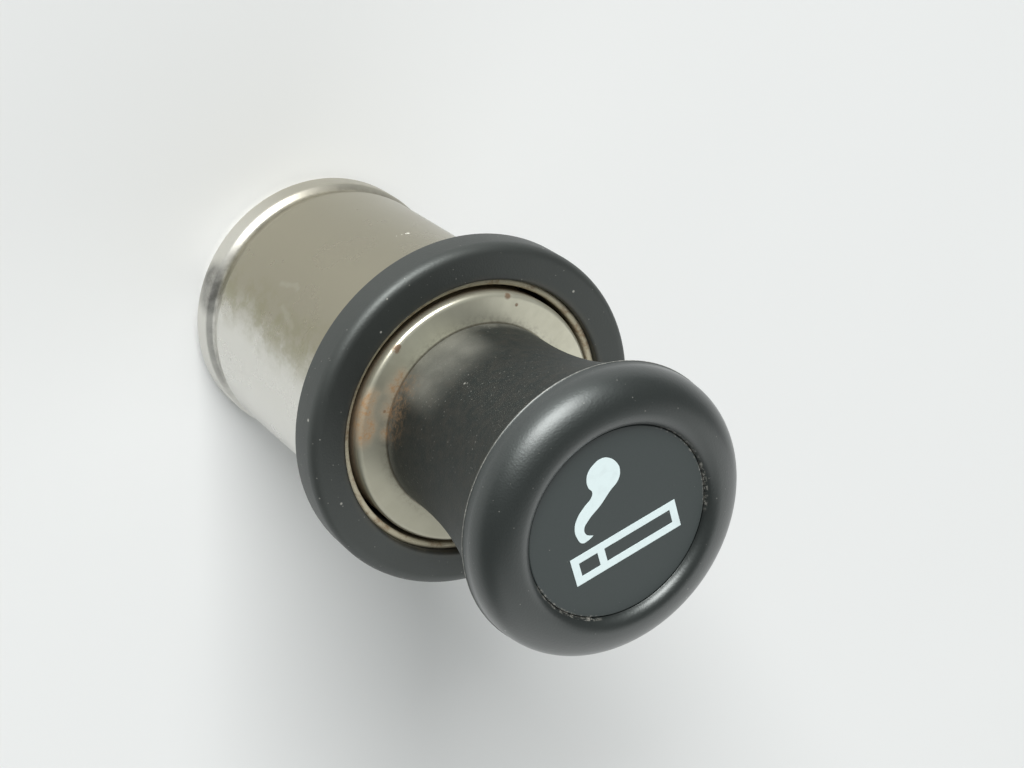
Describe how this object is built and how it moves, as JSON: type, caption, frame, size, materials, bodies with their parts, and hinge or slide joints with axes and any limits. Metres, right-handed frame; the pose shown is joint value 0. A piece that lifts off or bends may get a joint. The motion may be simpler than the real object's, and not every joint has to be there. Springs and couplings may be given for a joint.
{
  "type": "car cigarette lighter",
  "caption": "Push-in car cigarette lighter: plated sleeve with a black bezel ring, a sprung flared knob with a pictogram disc, and a spiral heating coil in a cup at the rear.",
  "frame": {"origin": "centre of the sleeve's rear rim, which the lighter stands on", "axes": "+Z along the sleeve's axis to the knob, +X along the pictogram's cigarette, +Y to its smoke"},
  "size_m": [0.0254, 0.0254, 0.0445],
  "materials": {
    "nickel_shell": "hazy nickel plate",
    "nickel_plate": "nickel plate with rust stains",
    "bezel_black": "satin",
    "knob_black": "satin",
    "disc_grey": "matt",
    "pressed_steel": "satin",
    "spring_steel": "drawn wire",
    "turned_steel": "turned",
    "washer_steel": "zinc plated",
    "cup_steel": "heat tinted",
    "coil_alloy": "oxidised",
    "insert_brass": "machined",
    "bush_ceramic": "unglazed",
    "mica": "laminated"
  },
  "bodies": {
    "sleeve_body": {"sleeve": "nickel_shell", "bezel_ring": "bezel_black", "spring_seat": "pressed_steel", "return_spring": "spring_steel"},
    "plunger": {"knob": "knob_black", "symbol_disc": "disc_grey", "threaded_insert": "insert_brass", "guide_cup": "nickel_plate", "lock_washer": "washer_steel", "stem": "turned_steel", "stop_washer": "washer_steel", "ceramic_bush": "bush_ceramic", "outer_insulator": "mica", "inner_insulator": "mica", "heater_cup": "cup_steel", "terminal": "turned_steel", "heating_coil": "coil_alloy"}
  },
  "joints": [
    {"name": "knob_push", "type": "slide", "parent": "sleeve_body", "child": "plunger", "axis": [0, 0, -1], "range_m": [0, 0.008], "stiffness_N_per_m": 600, "springref_m": -0.012, "deforming": ["return_spring"]}
  ]
}
